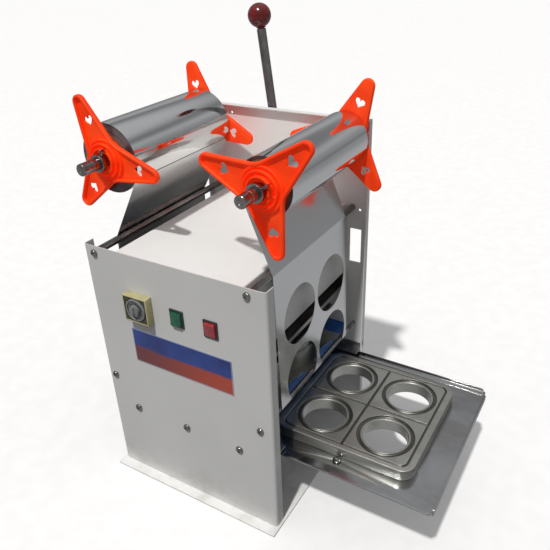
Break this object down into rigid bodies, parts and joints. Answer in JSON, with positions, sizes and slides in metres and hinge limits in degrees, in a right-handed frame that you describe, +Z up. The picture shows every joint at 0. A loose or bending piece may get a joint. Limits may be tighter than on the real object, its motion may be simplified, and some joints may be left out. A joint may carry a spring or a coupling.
{
  "type": "cup sealing machine",
  "caption": "Hand-lever cup sealing machine: white sheet cabinet, pull-out cup mould, heated head and two film rolls on star hubs.",
  "frame": {"origin": "on the floor under the middle of the cabinet", "axes": "+X the way the drawer pulls out, -Y the side of the control panel, +Z up"},
  "size_m": [0.6344, 0.4058, 0.7818],
  "materials": {
    "white_paint": "white powder coat, satin",
    "blue_paint": "blue paint, satin",
    "steel": "bare steel",
    "zinc_sheet": "zinc-plated sheet",
    "chrome": "polished",
    "aluminium": "milled",
    "mirror_film": "metallised sealing film, mirror bright",
    "cardboard": "brown cardboard tube",
    "orange_plastic": "moulded orange plastic",
    "red_ball": "dark red phenolic",
    "black_plastic": "black nylon",
    "olive_plastic": "beige-olive plastic",
    "clear_plastic": "clear plastic dial",
    "green_lens": "translucent green",
    "red_lens": "translucent red",
    "label": "printed film, two colours, no lettering"
  },
  "bodies": {
    "root": {"back_plate": "white_paint", "base_plate": "white_paint", "bridge_plate": "steel", "cable_gland": "black_plastic", "die_plate": "blue_paint", "drawer_rail_front": "steel", "drawer_rail_rear": "steel", "film_web": "mirror_film", "front_panel": "white_paint", "guide_rod_low_left": "chrome", "guide_rod_low_right": "chrome", "guide_rod_top_left": "chrome", "guide_rod_top_right": "chrome", "panel_label": "label", "rail_bolt_1": "chrome", "rail_bolt_2": "chrome", "rail_bolt_3": "chrome", "return_spring_left": "steel", "return_spring_right": "steel", "rod_screw_low_left": "chrome", "rod_screw_low_right": "chrome", "rod_screw_top_left": "chrome", "rod_screw_top_right": "chrome", "shaft_bearing_front": "steel", "shaft_bearing_rear": "steel", "supply_bearing": "steel", "switch_bezel_green": "black_plastic", "switch_bezel_red": "black_plastic", "takeup_bearing": "steel", "thermostat_body": "olive_plastic", "top_cover": "white_paint"},
    "drawer": {"drawer_tray": "zinc_sheet", "mould_plate": "aluminium", "mould_screw": "chrome"},
    "head": {"head_plate": "aluminium", "sealing_head_front_left": "aluminium", "sealing_head_front_right": "aluminium", "sealing_head_rear_left": "aluminium", "sealing_head_rear_right": "aluminium", "guide_post_left": "chrome", "guide_post_right": "chrome", "drive_rack": "steel"},
    "lever": {"lever_shaft": "steel", "drive_pinion": "steel", "lever_arm": "chrome", "lever_ball": "red_ball"},
    "supply_roll": {"supply_shaft": "chrome", "supply_core": "cardboard", "supply_film_roll": "mirror_film", "supply_star_front": "orange_plastic", "supply_star_rear": "orange_plastic"},
    "takeup_roll": {"takeup_shaft": "chrome", "takeup_core": "cardboard", "takeup_film_roll": "mirror_film", "takeup_star_front": "orange_plastic", "takeup_star_rear": "orange_plastic"},
    "dial": {"thermostat_dial": "clear_plastic"},
    "rocker_green": {"switch_rocker_green": "green_lens"},
    "rocker_red": {"switch_rocker_red": "red_lens"}
  },
  "joints": [
    {"name": "drawer_slide", "type": "slide", "parent": "root", "child": "drawer", "axis": [1, 0, 0], "range_m": [-0.248, 0]},
    {"name": "head_slide", "type": "slide", "parent": "root", "child": "head", "axis": [0, 0, 1], "range_m": [-0.045, 0], "stiffness_N_per_m": 1600, "springref_m": 0.0625, "deforming": ["return_spring_left", "return_spring_right"]},
    {"name": "lever_swing", "type": "hinge", "parent": "root", "child": "lever", "pos_m": [0, 0.2, 0.343], "axis": [0, 1, 0], "range_deg": [0, 92.2]},
    {"name": "supply_roll_spin", "type": "hinge", "parent": "root", "child": "supply_roll", "pos_m": [-0.141, 0.014, 0.59], "axis": [0, 1, 0], "continuous": true},
    {"name": "takeup_roll_spin", "type": "hinge", "parent": "root", "child": "takeup_roll", "pos_m": [0.139, 0.014, 0.59], "axis": [0, 1, 0], "continuous": true},
    {"name": "dial_turn", "type": "hinge", "parent": "root", "child": "dial", "pos_m": [-0.0655, -0.176, 0.3765], "axis": [0, 1, 0], "range_deg": [0, 300]},
    {"name": "rocker_green_tilt", "type": "hinge", "parent": "root", "child": "rocker_green", "pos_m": [0.007, -0.166, 0.376], "axis": [1, 0, 0], "range_deg": [0, 14]},
    {"name": "rocker_red_tilt", "type": "hinge", "parent": "root", "child": "rocker_red", "pos_m": [0.0705, -0.166, 0.376], "axis": [1, 0, 0], "range_deg": [-14, 0]}
  ],
  "couplings": [
    {"joint": "lever_swing", "follows": "head_slide", "rad_per_m": -35.714}
  ]
}
